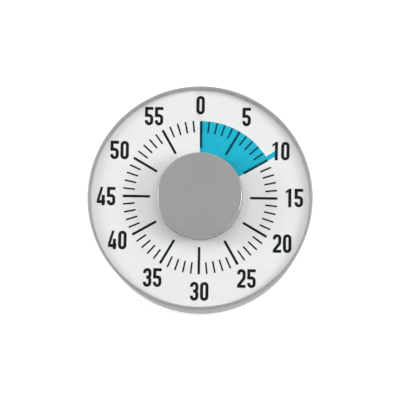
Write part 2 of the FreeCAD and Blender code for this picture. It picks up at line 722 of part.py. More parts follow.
# The knob: a cup with a keyed boss, ribs and a bore with a flat.
def make_knob():
    body = new_body("knob")
    turn(body, "cup", [
        ("0", "boss_low"),
        ("boss_radius", "boss_low"),
        ("boss_radius", "knob_ceiling"),
        ("knob_top_radius - knob_wall", "knob_ceiling"),
        ("knob_radius - knob_wall", "knob_base"),
        ("knob_radius", "knob_base"),
        ("knob_top_radius", "knob_top"),
        ("0", "knob_top"),
    ])
    cup = body.Tip
    round_edges(body, cup, "face_edge", "knob_round", "knob_top_radius", "knob_top")
    key_sketch = new_sketch(body, "key_outline", height="boss_low")
    draw_outline(key_sketch, [
        ("boss_radius / 2", "-key_width / 2"),
        ("boss_radius + key_height", "-key_width / 2"),
        ("boss_radius + key_height", "key_width / 2"),
        ("boss_radius / 2", "key_width / 2"),
    ])
    key = pad(body, "key", key_sketch, "rib_low - boss_low")
    repeat(body, "keys", [key], "key_count")
    rib_sketch = new_sketch(body, "rib_outline", height="rib_low")
    draw_outline(rib_sketch, [
        ("boss_radius / 2", "-rib_thickness / 2"),
        ("knob_top_radius - knob_wall / 2", "-rib_thickness / 2"),
        ("knob_top_radius - knob_wall / 2", "rib_thickness / 2"),
        ("boss_radius / 2", "rib_thickness / 2"),
    ])
    rib = pad(body, "rib", rib_sketch, "knob_ceiling - rib_low")
    repeat(body, "ribs", [rib], "rib_count")
    sketch = new_sketch(body, "bore_outline", height="boss_low")
    draw_flatted_circle(sketch, "arbor_radius", "arbor_flat")
    pocket(body, "arbor_bore", sketch, "arbor_top - boss_low")
    return body


# A circle with one flat, facing +X.
def draw_flatted_circle(sketch, radius, flat):
    half_angle = math.acos(value(flat) / value(radius))
    arc = sketch.addGeometry(Part.ArcOfCircle(
        Part.Circle(ORIGIN, UP, value(radius)), half_angle, 2 * math.pi - half_angle
    ))
    ends = [
        FreeCAD.Vector(value(flat), side * value(radius) * math.sin(half_angle), 0) for side in (-1, 1)
    ]
    chord = sketch.addGeometry(Part.LineSegment(*ends))
    sketch.addConstraint(Sketcher.Constraint("Coincident", arc, 3, -1, 1))
    sketch.addConstraint(Sketcher.Constraint("Coincident", arc, 2, chord, 1))
    sketch.addConstraint(Sketcher.Constraint("Coincident", arc, 1, chord, 2))
    sketch.addConstraint(Sketcher.Constraint("Vertical", chord))
    bind(sketch, "Radius", (arc,), radius)
    bind(sketch, "DistanceX", (-1, 1, chord, 1), flat)


def make_main_arbor():
    body = turned("main_arbor", [
        ("0", "back_plate - fit_gap"),
        ("arbor_pivot", "back_plate - fit_gap"),
        ("arbor_pivot", "back_plate_top + shake / 2"),
        ("arbor_body", "back_plate_top + shake / 2"),
        ("arbor_body", "front_plate - shake / 2"),
        ("arbor_radius", "front_plate - shake / 2"),
        ("arbor_radius", "flat_low"),
        ("0", "flat_low"),
    ])
    sketch = new_sketch(body, "flat_outline", height="flat_low")
    draw_flatted_circle(sketch, "arbor_radius", "arbor_flat")
    pad(body, "flatted_end", sketch, "arbor_top - flat_low")
    return body


# A movement plate's pivot holes, pillar holes and main bearing.
def drill_plate(body, low, high, main_hole):
    bore(body, body.Label + "_main_hole", main_hole, low, high)
    pivots = {"second": SECOND, "third": THIRD, "escape": ESCAPE, "verge": VERGE, "hammer": HAMMER}
    for name, place in pivots.items():
        radius = "train_pivot + running_gap"
        if name == "hammer" and low == "back_plate":
            radius = "train_arbor + running_gap"
        bore(body, f"{body.Label}_{name}_hole", radius, low, high, place)
    for number, place in enumerate(PILLARS, 1):
        bore(body, f"{body.Label}_pillar_hole_{number}", "pillar_stud", low, high, place)


def make_front_plate():
    body = new_body("movement_front_plate")
    post(body, "front_disc", "plate_radius", "front_plate", "front_plate_top")
    ear = post(body, "ear", "ear_radius", "front_plate", "front_plate_top", PLATE_SCREW)
    repeat(body, "ears", [ear], "ear_count")
    hole = bore(
        body, "ear_hole", "plate_screw_radius + fit_gap", "front_plate", "front_plate_top", PLATE_SCREW
    )
    repeat(body, "ear_holes", [hole], "ear_count")
    drill_plate(body, "front_plate", "front_plate_top", "arbor_radius + running_gap")
    return body


def make_back_plate():
    body = new_body("movement_back_plate")
    post(body, "back_disc", "plate_radius", "back_plate", "back_plate_top")
    drill_plate(body, "back_plate", "back_plate_top", "arbor_pivot + running_gap")
    bore(body, "bell_post_hole", "bell_hole", "back_plate", "back_plate_top", BELL)
    bore(body, "spring_post_hole", "pillar_stud", "back_plate", "back_plate_top", SPRING_END)
    return body


def make_movement_screws():
    body = new_body("movement_screws")
    head = post(
        body, "plate_screw_top", "plate_screw_head", "front_plate - head_height", "front_plate", PLATE_SCREW
    )
    shank = post(
        body, "plate_screw_shank", "plate_screw_radius", "front_plate",
        "front_plate + plate_screw_length", PLATE_SCREW,
    )
    repeat(body, "plate_screws", [head, shank], "ear_count")
    return body


def make_pillars():
    body = new_body("plate_pillars")
    for number, place in enumerate(PILLARS, 1):
        post(body, f"pillar_{number}", "pillar_radius", "back_plate_top", "front_plate", place)
        post(body, f"rear_stud_{number}", "pillar_stud", "back_plate", "back_plate_top", place)
        post(body, f"front_stud_{number}", "pillar_stud", "front_plate", "front_plate_top", place)
    return body


# Nuts, drawn as hexagons, on the rear ends of the pillars.
def make_pillar_nuts():
    nuts = []
    for place in PILLARS:
        corners = [
            tuple(value(part) for part in polar("pillar_nut", str(60 * corner), place))
            for corner in range(6)
        ]
        nuts.append(plate_through(corners, "back_plate - pillar_nut_height", "back_plate"))
    return formed("pillar_nuts", Part.makeCompound(nuts))


# Radii and half angles of an involute flank, from root to tip.
def flank(module, teeth, shift, points):
    pitch = module * teeth / 2
    angle = math.radians(value("pressure_angle"))
    base = pitch * math.cos(angle)
    root = pitch - (value("tooth_dedendum") - shift) * module
    tip = pitch + (value("tooth_addendum") + shift) * module
    thickness = module * (math.pi / 2 + 2 * shift * math.tan(angle)) - value("backlash") / 2
    involute_at_pitch = math.tan(angle) - angle
    places = []
    for step in range(points):
        radius = root + (tip - root) * step / (points - 1)
        reach = max(radius, base)
        rolled = math.acos(base / reach)
        half = thickness / (2 * pitch) + involute_at_pitch - (math.tan(rolled) - rolled)
        places.append((radius, half))
    return places


# A gear's outline with a tooth, or else a gap, centred on an angle in degrees.
def gear_outline(module, teeth, shift, facing, points):
    side = flank(module, teeth, shift, points)
    outline = []
    for tooth in range(teeth):
        centre = math.radians(facing) + 2 * math.pi * tooth / teeth
        rising = [(radius, centre - half) for radius, half in side]
        falling = [(radius, centre + half) for radius, half in reversed(side)]
        outline += [(radius * math.cos(a), radius * math.sin(a)) for radius, a in rising + falling]
    return outline


# Windows between the spokes of a wheel.
def spoke_windows(inner, outer, count, low, high):
    windows = []
    spoke = value("spoke_angle")
    base = FreeCAD.Vector(0, 0, value(low))
    for number in range(count):
        sector = Part.makeCylinder(outer, value(high) - value(low), base, UP, 360 / count - spoke)
        sector.rotate(ORIGIN, UP, 360 * number / count + spoke / 2)
        windows.append(sector.cut(cylinder(str(inner), low, high)))
    return windows


# A toothed wheel with a bore and spokes.
def make_wheel(label, module, teeth, low, facing, hole, place, spokes):
    high = f"{low} + wheel_thickness"
    count = round(value(teeth))
    size = value(module)
    outline = gear_outline(size, count, -value("tooth_shift"), value(facing), 2)
    wheel = plate_through(outline, low, high)
    rim = size * count / 2 - value("wheel_rim") * size
    hub = value(hole) + value("wheel_hub")
    windows = spoke_windows(hub, rim, spokes, low, high)
    return formed(label, wheel.cut(cylinder(hole, low, high)).cut(windows), place)


# A pinion cut on its own arbor, with its pivots.
def make_pinion(label, module, low, high, facing, place):
    count = round(value("pinion_teeth"))
    towards = value(facing) + 180 + 180 / count
    outline = gear_outline(value(module), count, value("tooth_shift"), towards, 5)
    teeth = plate_through(outline, low, high)
    return formed(label, teeth.fuse(arbor_solid("back_plate", "front_plate_top")), place)


# An arbor of the train between the plates, with a thinner pivot at each end.
def arbor_solid(low, high):
    shaft = cylinder("train_arbor", "back_plate_top + shake / 2", "front_plate - shake / 2")
    return shaft.fuse(cylinder("train_pivot", low, high))


def make_great_wheel():
    return make_wheel(
        "great_wheel", "great_module", "great_teeth", "great_low", "second_angle",
        "arbor_body + running_gap", ("0", "0"), 5,
    )


def make_second_wheel():
    return make_wheel(
        "second_wheel", "second_module", "second_teeth", "second_low", "third_angle",
        "train_arbor", SECOND, 4,
    )


def make_second_pinion():
    return make_pinion(
        "second_pinion", "great_module", "great_low - pinion_overhang",
        "great_low + wheel_thickness + pinion_overhang",
        "second_angle", SECOND,
    )


def make_third_wheel():
    return make_wheel(
        "third_wheel", "third_module", "third_teeth", "third_low", "escape_angle",
        "train_arbor", THIRD, 4,
    )


def make_third_pinion():
    return make_pinion(
        "third_pinion", "second_module", "second_low - pinion_overhang", "third_low", "third_angle", THIRD
    )


def make_escape_pinion():
    return make_pinion(
        "escape_pinion", "third_module", "third_low - pinion_overhang", "front_plate - shake",
        "escape_angle", ESCAPE,
    )


# The escape wheel's pointed teeth lean forward.
def make_escape_wheel():
    count = round(value("escape_teeth"))
    tooth_line = (
        ("escape_root", "0"),
        ("escape_radius", "escape_rise"),
        ("escape_radius", "escape_rise + escape_land"),
        ("escape_root", "escape_rise + escape_land + escape_fall"),
    )
    outline = []
    for tooth in range(count):
        for radius, share in tooth_line:
            angle = (tooth + value(share)) * 2 * math.pi / count
            outline.append((value(radius) * math.cos(angle), value(radius) * math.sin(angle)))
    high = "escape_low + wheel_thickness"
    wheel = plate_through(outline, "escape_low", high).cut(cylinder("train_arbor", "escape_low", high))
    return formed("escape_wheel", wheel, ESCAPE)


def pallet_places():
    reach = "escape_radius + pallet_gap + pallet_radius"
    return [
        polar(reach, f"verge_angle + {side} * pallet_spread", ESCAPE) for side in ("1", "-1")
    ]


# The verge: two arms from its arbor, each with a pallet pin that hangs beside the escape wheel.
def make_verge():
    high = "verge_low + verge_thickness"
    pieces = []
    for place in pallet_places():
        pieces.append(link(VERGE, place, "verge_arm", "verge_low", high))
        pieces.append(cylinder("pallet_radius", "escape_low - pallet_overhang", "verge_low", place))
    hub = cylinder("train_arbor + arbor_hub", "verge_low", high, VERGE)
    arms = hub.fuse(pieces)
    return formed("pallet_verge", arms.cut(cylinder("train_arbor", "verge_low", high, VERGE)))


def make_verge_arbor():
    return formed("verge_arbor", arbor_solid("back_plate", "front_plate_top"), VERGE)


# The bar with a weight at each end that sets the beat.
def make_balance_bar():
    high = "balance_low + balance_thickness"
    ends = [
        polar("balance_reach", "verge_angle + 90", VERGE),
        polar("balance_reach", "verge_angle - 90", VERGE),
    ]
    bar = link(ends[0], ends[1], "weight_radius", "balance_low", "balance_low + balance_thickness / 2")
    weights = [cylinder("weight_radius", "balance_low", high, end) for end in ends]
    hub = cylinder("train_arbor + arbor_hub", "balance_low", high, VERGE)
    bar = bar.fuse(weights + [hub])
    return formed("balance_bar", bar.cut(cylinder("train_arbor", "balance_low", high, VERGE)))


# The mainspring: a flat strip in half turns, each wider than the one before.
def make_mainspring():
    growth = value("spring_pitch") / 2
    strip = value("spring_strip")
    low = value("spring_low")
    half_turns = round(2 * value("spring_turns"))
    inside = []
    outside = []
    centre = 0
    radius = value("spring_inner")
    for number in range(half_turns):
        flip = 1 if number % 2 == 0 else -1
        for edges, reach in ((inside, radius), (outside, radius + strip)):
            start = FreeCAD.Vector(centre + flip * -reach, 0, low)
            middle = FreeCAD.Vector(centre, flip * -reach, low)
            end = FreeCAD.Vector(centre + flip * reach, 0, low)
            edges.append(Part.Arc(start, middle, end).toShape())
        centre -= flip * growth
        radius += growth
    ends = [
        Part.LineSegment(inside[0].Vertexes[0].Point, outside[0].Vertexes[0].Point).toShape(),
        Part.LineSegment(inside[-1].Vertexes[-1].Point, outside[-1].Vertexes[-1].Point).toShape(),
    ]
    outline = Part.Wire(Part.__sortEdges__(inside + outside + ends))
    coil = Part.Face(outline).extrude(FreeCAD.Vector(0, 0, value("spring_width")))
    return formed("mainspring", coil)


def make_spring_post():
    body = new_body("spring_post")
    post(body, "spring_stud", "pillar_stud", "back_plate", "back_plate_top", SPRING_END)
    post(body, "spring_column", "spring_post_radius", "back_plate_top", "great_low - clear_gap", SPRING_END)
    return body


CLICK_PIVOT = polar("click_ring", "click_angle")


# Saw teeth whose steep sides lead when the arbor runs back to zero.
def ratchet_solid(extra=0):
    count = round(value("ratchet_teeth"))
    outline = []
    for tooth in range(count):
        start = math.radians(value("click_tip_angle")) + 2 * math.pi * tooth / count
        for radius, share in (("ratchet_root", 0), ("ratchet_radius", 1 - value("ratchet_lean"))):
            angle = start + share * 2 * math.pi / count
            reach = value(radius) + extra
            outline.append((reach * math.cos(angle), reach * math.sin(angle)))
    return plate_through(outline, "click_low", "click_high")


def make_ratchet_wheel():
    return formed("ratchet_wheel", ratchet_solid().cut(cylinder("arbor_body", "click_low", "click_high")))


# The pawl on the great wheel, whose point stands in a tooth of the ratchet.
def make_click():
    tip = polar("ratchet_root + click_tip_width", "click_tip_angle + click_lead")
    arm = link(tip, CLICK_PIVOT, "click_tip_width * 2", "click_low", "click_high")
    eye = cylinder("click_eye", "click_low", "click_high", CLICK_PIVOT)
    hole = cylinder("click_rivet + running_gap", "click_low", "click_high", CLICK_PIVOT)
    return formed("click", arm.fuse(eye).cut([hole, ratchet_solid(value("running_gap"))]))


def make_click_rivet():
    body = new_body("click_rivet")
    post(body, "click_pin", "click_rivet", "great_low + wheel_thickness", "click_high", CLICK_PIVOT)
    return body


# The leaf that presses the click inwards, bent from a foot on the great wheel.
def make_click_spring():
    foot = polar("click_foot_ring", "click_foot_angle")
    touch = polar("click_touch_ring", "click_touch_angle")
    leaf = link(foot, touch, "click_spring_strip", "click_low", "click_high")
    pin = cylinder("click_rivet", "great_low + wheel_thickness", "click_high", foot)
    return formed("click_spring", leaf.fuse(pin))


# The cam that lifts the hammer's tail: a ramp, then a sheer drop.
def make_alarm_cam():
    drop = math.radians(value("tail_angle - disc_edge_angle"))
    span = math.radians(value("cam_span"))
    steps = round(value("cam_steps"))
    ramp = []
    for step in range(steps + 1):
        radius = value("cam_lobe") - (value("cam_lobe") - value("cam_radius")) * (step / steps) ** 2
        angle = drop + span * step / steps
        ramp.append((radius * math.cos(angle), radius * math.sin(angle)))
    high = "cam_low + wheel_thickness"
    lobe = plate_through([(0, 0)] + ramp, "cam_low", high)
    disc = cylinder("cam_radius", "cam_low", high)
    return formed("alarm_cam", disc.fuse(lobe).cut(cylinder("arbor_body", "cam_low", high)))


def make_hammer_arbor():
    shaft = cylinder("train_arbor", "hammer_arm_low", "front_plate - shake / 2")
    pivot = cylinder("train_pivot", "front_plate - shake / 2", "front_plate_top")
    return formed("hammer_arbor", shaft.fuse(pivot), HAMMER)


TAIL_TIP = polar("cam_lobe + cam_gap + tail_width / 2", "tail_angle")


def make_hammer_tail():
    high = "cam_low + wheel_thickness"
    tail = link(HAMMER, TAIL_TIP, "tail_width", "cam_low", high)
    eye = cylinder("train_arbor + arbor_hub", "cam_low", high, HAMMER)
    return formed("hammer_tail", tail.fuse(eye).cut(cylinder("train_arbor", "cam_low", high, HAMMER)))


# The leaf from a pillar that holds the tail down.
def make_hammer_spring():
    pillar = PILLARS[1]
    foot = (f"{pillar[0]} + pillar_radius + hammer_leaf / 2", pillar[1])
    along = f"({TAIL_TIP[0]}) * leaf_share + ({HAMMER[0]}) * (1 - leaf_share)"
    across = f"({TAIL_TIP[1]}) * leaf_share + ({HAMMER[1]}) * (1 - leaf_share)"
    touch = (along, f"{across} + tail_width / 2 + clear_gap")
    leaf = link(foot, touch, "hammer_leaf", "cam_low", "cam_low + wheel_thickness")
    return formed("hammer_spring", leaf)


# Where the head stands so that the arm is square to the line from the bell's centre.
def hammer_head_place():
    apart_x = value(HAMMER[0]) - value("bell_x")
    apart_y = value(HAMMER[1]) - value("bell_y")
    reach = value("bell_radius + hammer_head_radius + hammer_gap")
    angle = math.atan2(apart_y, apart_x) + math.acos(reach / math.hypot(apart_x, apart_y))
    return (
        str(value("bell_x") + reach * math.cos(angle)),
        str(value("bell_y") + reach * math.sin(angle)),
    )


def make_hammer_arm():
    high = "hammer_arm_low + hammer_arm_thickness"
    head = hammer_head_place()
    arm = link(HAMMER, head, "hammer_arm_width", "hammer_arm_low", high)
    eye = cylinder("train_arbor + arbor_hub", "hammer_arm_low", high, HAMMER)
    holes = [cylinder("train_arbor", "hammer_arm_low", high, HAMMER)]
    return formed("hammer_arm", arm.fuse(eye).cut(holes))


def make_hammer_head():
    low = "hammer_arm_low + hammer_arm_thickness"
    head = cylinder("hammer_head_radius", low, f"{low} + hammer_head_height", hammer_head_place())
    return formed("hammer_head", head)


# The bell: a shallow dish with its rim towards the movement.
def make_bell():
    return turned("bell", [
        ("bell_hole", "bell_low"),
        ("bell_crown", "bell_low"),
        ("bell_radius", "bell_low + bell_shoulder"),
        ("bell_radius", "bell_low + bell_depth"),
        ("bell_radius - bell_wall", "bell_low + bell_depth"),
        ("bell_radius - bell_wall", "bell_low + bell_shoulder + bell_wall / 2"),
        ("bell_crown - bell_wall / 2", "bell_low + bell_wall"),
        ("bell_hole", "bell_low + bell_wall"),
    ], BELL)


def make_bell_post():
    return turned("bell_post", [
        ("0", "bell_low - bell_nut_height"),
        ("bell_hole", "bell_low - bell_nut_height"),
        ("bell_hole", "bell_low + bell_wall"),
        ("bell_post_radius", "bell_low + bell_wall"),
        ("bell_post_radius", "back_plate"),
        ("bell_hole", "back_plate"),
        ("bell_hole", "back_plate_top"),
        ("0", "back_plate_top"),
    ], BELL)


def make_bell_nut():
    corners = [
        tuple(value(part) for part in polar("bell_nut_radius", str(60 * corner))) for corner in range(6)
    ]
    low = "bell_low - bell_nut_height"
    nut = plate_through(corners, low, "bell_low").cut(cylinder("bell_hole", low, "bell_low"))
    return formed("bell_nut", nut, BELL)


PIECES = [
    make_front_housing(),
    make_rear_cover(),
    make_case_screws(),
    make_magnets(),
    make_lens(),
    make_dial(),
    make_time_disc(),
    make_disc_hub(),
    make_knob(),
    make_main_arbor(),
    make_front_plate(),
    make_back_plate(),
    make_movement_screws(),
    make_pillars(),
    make_pillar_nuts(),
    make_mainspring(),
    make_spring_post(),
    make_great_wheel(),
    make_ratchet_wheel(),
    make_click(),
    make_click_rivet(),
    make_click_spring(),
    make_second_pinion(),
    make_second_wheel(),
    make_third_pinion(),
    make_third_wheel(),
    make_escape_pinion(),
    make_escape_wheel(),
    make_verge(),
    make_verge_arbor(),
    make_balance_bar(),
    make_alarm_cam(),
    make_hammer_arbor(),
    make_hammer_tail(),
    make_hammer_arm(),
    make_hammer_head(),
    make_hammer_spring(),
    make_bell(),
    make_bell_post(),
    make_bell_nut(),
]

doc.recompute()
failed = [item.Label for item in doc.Objects if {"Invalid", "Error"} & set(item.State)]
failed += [piece.Label for piece in PIECES if piece.Shape.isNull() or not piece.Shape.isValid()]
if failed:
    raise RuntimeError("not sound: " + ", ".join(failed))
os.makedirs("parts", exist_ok=True)
for piece in PIECES:
    piece.Shape.exportStep(f"parts/{piece.Label}.step")
    print(piece.Label, len(piece.Shape.Solids), round(piece.Shape.Volume, 3))
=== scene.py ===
import math

import bpy
from mathutils import Matrix, Vector


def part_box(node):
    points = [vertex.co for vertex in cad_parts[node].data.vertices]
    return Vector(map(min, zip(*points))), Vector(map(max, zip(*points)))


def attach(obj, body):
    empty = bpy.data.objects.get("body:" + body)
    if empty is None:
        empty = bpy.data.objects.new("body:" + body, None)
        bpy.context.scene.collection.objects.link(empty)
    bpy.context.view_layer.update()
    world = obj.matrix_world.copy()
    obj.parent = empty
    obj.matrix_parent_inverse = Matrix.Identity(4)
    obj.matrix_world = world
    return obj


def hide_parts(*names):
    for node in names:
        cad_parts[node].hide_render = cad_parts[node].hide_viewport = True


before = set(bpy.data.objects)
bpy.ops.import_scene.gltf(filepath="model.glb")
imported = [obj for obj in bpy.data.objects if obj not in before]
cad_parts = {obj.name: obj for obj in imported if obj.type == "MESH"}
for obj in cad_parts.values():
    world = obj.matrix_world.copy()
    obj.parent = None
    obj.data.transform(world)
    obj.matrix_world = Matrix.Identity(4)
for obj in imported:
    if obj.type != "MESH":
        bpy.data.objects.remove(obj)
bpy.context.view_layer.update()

bpy.ops.object.select_all(action="DESELECT")


# Camera: it looks down at the face from 0.9 m, leaning a little towards the 6 so that the
# front of the drum shows below the rim. The small roll and offset are the photographer's.
camera_distance, camera_tilt, camera_yaw, camera_roll = 0.9, 7.16, 0.83, 0.9
camera_shift, rim_height = (-0.00001, -0.00125), 0.036
focal_length, sensor_width, nearest = 186.39, 36, 0.01

bpy.ops.object.camera_add()
camera = bpy.context.object
camera.matrix_world = (
    Matrix.Translation((0, 0, rim_height))
    @ Matrix.Rotation(math.radians(camera_tilt), 4, "X")
    @ Matrix.Rotation(math.radians(camera_yaw), 4, "Y")
    @ Matrix.Rotation(math.radians(camera_roll), 4, "Z")
    @ Matrix.Translation((*camera_shift, camera_distance))
)
camera.data.sensor_width = sensor_width
camera.data.lens = focal_length
camera.data.clip_start = nearest
bpy.context.scene.camera = camera
bpy.context.scene.view_settings.view_transform = "Standard"


# Studio: a white table that keeps a faint shadow, in a white room whose ceiling is dim. A wide
# lamp hangs above the 12, and two softboxes at the sides shade the face beside the knob.
def node(tree, kind, links=None, **settings):
    """A node whose inputs are linked to sockets or set to values, by name or number."""
    made = tree.nodes.new(kind)
    for name, setting in settings.items():
        setattr(made, name, setting)
    for socket, source in (links or {}).items():
        if isinstance(source, bpy.types.NodeSocket):
            tree.links.new(source, made.inputs[socket])
        else:
            made.inputs[socket].default_value = source
    return made


def larger(tree, first, second):
    return node(tree, "ShaderNodeMath", {0: first, 1: second}, operation="MAXIMUM").outputs[0]


white_light, wall_light, ceiling_light, room_light = 1.0, 1.0, 0.05, 0.2
wall_ends, ceiling_starts = 0.35, 0.8
room = bpy.data.worlds.new("white_room")
room.use_nodes = True
tree = room.node_tree
tree.nodes.clear()
path = node(tree, "ShaderNodeLightPath").outputs
upward = node(tree, "ShaderNodeSeparateXYZ", {
    0: node(tree, "ShaderNodeTexCoord").outputs["Generated"],
}).outputs["Z"]
mirrored = node(tree, "ShaderNodeMapRange", {
    "Value": upward, "From Min": wall_ends, "From Max": ceiling_starts,
    "To Min": wall_light, "To Max": ceiling_light,
})
in_gloss = larger(tree, path["Is Glossy Ray"], path["Is Transmission Ray"])
straight = node(tree, "ShaderNodeMath", {0: path["Diffuse Depth"], 1: 0.5}, operation="LESS_THAN")
seen_in_gloss = node(tree, "ShaderNodeMath", {0: in_gloss, 1: straight.outputs[0]}, operation="MULTIPLY")
indirect = node(tree, "ShaderNodeMix", {
    "Factor": seen_in_gloss.outputs[0], "A": room_light, "B": mirrored.outputs[0],
})
brightness = node(tree, "ShaderNodeMix", {
    "Factor": path["Is Camera Ray"], "A": indirect.outputs[0], "B": white_light,
})
backdrop = node(tree, "ShaderNodeBackground", {
    "Color": (1, 1, 1, 1), "Strength": brightness.outputs[0],
})
node(tree, "ShaderNodeOutputWorld", {"Surface": backdrop.outputs[0]})
bpy.context.scene.world = room

table_size, table_level = 12, -0.00002
table_grey, table_glow = (0.5, 0.5, 0.5, 1), 0.72
bpy.ops.mesh.primitive_plane_add(size=table_size, location=(0, 0, table_level))
table = bpy.context.object
table.name = "table"
bpy.ops.object.transform_apply(location=True)
white_table = bpy.data.materials.new("white_table")
white_table.use_nodes = True
tree = white_table.node_tree
tree.nodes.clear()
path = node(tree, "ShaderNodeLightPath").outputs
seen = larger(tree, path["Is Camera Ray"], larger(tree, path["Is Glossy Ray"], path["Is Transmission Ray"]))
card = node(tree, "ShaderNodeBsdfDiffuse", {"Color": table_grey})
lift = node(tree, "ShaderNodeMath", {0: seen, 1: table_glow}, operation="MULTIPLY")
glow = node(tree, "ShaderNodeEmission", {"Color": (1, 1, 1, 1), "Strength": lift.outputs[0]})
both = node(tree, "ShaderNodeAddShader", {0: card.outputs[0], 1: glow.outputs[0]})
node(tree, "ShaderNodeOutputMaterial", {"Surface": both.outputs[0]})
table.data.materials.append(white_table)

for name, place, size, power in (
    ("softbox_left", (-0.62, 0.09, 0.5), (0.2, 0.36), 2.1),
    ("softbox_right", (0.56, 0.05, 0.57), (0.27, 0.36), 2.5),
    ("lamp_above", (0.0, 0.16, 1.1), (0.9, 0.9), 7.2),
):
    bpy.ops.object.light_add(type="AREA", location=place)
    softbox = bpy.context.object
    softbox.name = name
    softbox.data.shape = "RECTANGLE"
    softbox.data.size, softbox.data.size_y = size
    softbox.data.energy = power
    softbox.rotation_euler = (-Vector(place)).to_track_quat("-Z", "Y").to_euler()
    softbox.visible_glossy = name != "lamp_above"
    softbox.visible_transmission = False


# Drum case: one light grey moulding with a thin lip round the lens, a step that carries it, and
# a deck below the face. The bosses under the deck take the screws of the movement and the cover.
case_height, rim_radius, foot_radius = 36, 48.98, 48.28
lens_well, face_bore, wall_bore, cover_bore, knob_bore = 47.8, 47.45, 46.3, 47.1, 10.6
tape_step, deck_top, deck_under, cover_level = 33.86, 30, 27.8, 2.2
on_axis, weld, crease = 0.001, 0.000002, math.radians(30)


def eased(corners):
    """Corners as (radius, height, rounding), each rounding replaced by an arc."""
    line, arc_steps = [], 5
    for number, (radius, height, rounding) in enumerate(corners):
        corner = Vector((radius, height))
        if not rounding:
            line.append(corner)
            continue
        before = (Vector(corners[number - 1][:2]) - corner).normalized()
        after = (Vector(corners[(number + 1) % len(corners)][:2]) - corner).normalized()
        half = before.angle(after) / 2
        start = corner + before * rounding / math.tan(half)
        end = corner + after * rounding / math.tan(half)
        centre = corner + (before + after).normalized() * rounding / math.sin(half)
        for step in range(arc_steps + 1):
            spoke = (start - centre).normalized().slerp((end - centre).normalized(), step / arc_steps)
            line.append(centre + spoke * rounding)
    return line


def spun(name, corners, sides=256, centre=(0, 0)):
    """A closed profile in millimetres, spun about a vertical axis."""
    line = eased(corners)
    bpy.ops.object.select_all(action="DESELECT")
    bpy.ops.mesh.primitive_plane_add(size=0.001, location=(0, 0, 0))
    piece = bpy.context.object
    piece.name = piece.data.name = name
    bpy.ops.object.mode_set(mode="EDIT")
    bpy.ops.mesh.select_all(action="SELECT")
    bpy.ops.mesh.merge(type="CENTER")
    first = line[0] / 1000
    bpy.ops.transform.translate(value=(centre[0] / 1000 + first[0], centre[1] / 1000, first[1]))
    for before, after in zip(line, line[1:] + line[:1]):
        step = (after - before) / 1000
        bpy.ops.mesh.extrude_vertices_move(TRANSFORM_OT_translate={"value": (step[0], 0, step[1])})
    bpy.ops.mesh.select_all(action="SELECT")
    bpy.ops.mesh.spin(
        steps=sides, angle=2 * math.pi, axis=(0, 0, 1),
        center=(centre[0] / 1000, centre[1] / 1000, 0),
    )
    bpy.ops.mesh.select_all(action="SELECT")
    bpy.ops.mesh.remove_doubles(threshold=weld)
    bpy.ops.mesh.normals_make_consistent(inside=False)
    bpy.ops.object.mode_set(mode="OBJECT")
    bpy.ops.object.shade_smooth_by_angle(angle=crease)
    return piece


def joined(pieces):
    bpy.ops.object.select_all(action="DESELECT")
    for piece in pieces:
        piece.select_set(True)
    bpy.context.view_layer.objects.active = pieces[0]
    bpy.ops.object.join()
    return pieces[0]


def coat(piece, material):
    """Leaves a piece with this one material."""
    piece.data.materials.clear()
    piece.data.materials.append(material)


def places(out, first):
    """Three places, millimetres out from the case's axis and evenly round it from a first angle."""
    turns = [math.radians(first + 120 * number) for number in range(3)]
    return [(out * math.cos(turned_by), out * math.sin(turned_by)) for turned_by in turns]


def group_sockets(group, inputs, outputs):
    for name, start in inputs.items():
        socket = group.interface.new_socket(name, in_out="INPUT", socket_type="NodeSocketFloat")
        socket.default_value = start
    for name in outputs:
        group.interface.new_socket(name, in_out="OUTPUT", socket_type="NodeSocketFloat")
    return group.nodes.new("NodeGroupInput"), group.nodes.new("NodeGroupOutput")


# Moulded plastic: a fine spark-eroded texture in the surface and slow, faint changes of tone.
moulding = bpy.data.node_groups.new("moulded_texture", "ShaderNodeTree")
given, result = group_sockets(
    moulding, {"Grain": 2600.0, "Tone Scale": 45.0}, ("Tone", "Height"),
)
place = node(moulding, "ShaderNodeTexCoord").outputs["Object"]
tone = node(moulding, "ShaderNodeTexNoise", {
    "Vector": place, "Scale": given.outputs["Tone Scale"], "Detail": 3.0, "Roughness": 0.55,
})
spark = node(moulding, "ShaderNodeTexVoronoi", {"Vector": place, "Scale": given.outputs["Grain"]})
cloud = node(moulding, "ShaderNodeTexNoise", {
    "Vector": place, "Scale": given.outputs["Grain"], "Detail": 2.0,
})
mixed = node(
    moulding, "ShaderNodeMath", {0: spark.outputs["Distance"], 1: cloud.outputs[0]}, operation="ADD",
)
moulding.links.new(tone.outputs[0], result.inputs["Tone"])
moulding.links.new(mixed.outputs[0], result.inputs["Height"])


def shader(name):
    material = bpy.data.materials.new(name)
    material.use_nodes = True
    return material, material.node_tree, material.node_tree.nodes["Principled BSDF"]


def tinted(tree, factor, dark, light):
    """A ramp between two colours, driven by a value that changes over the surface."""
    ramp = node(tree, "ShaderNodeValToRGB", {"Fac": factor})
    for element, position, colour in zip(ramp.color_ramp.elements, (0.3, 0.7), (dark, light)):
        element.position, element.color = position, (*colour, 1)
    return ramp.outputs["Color"]


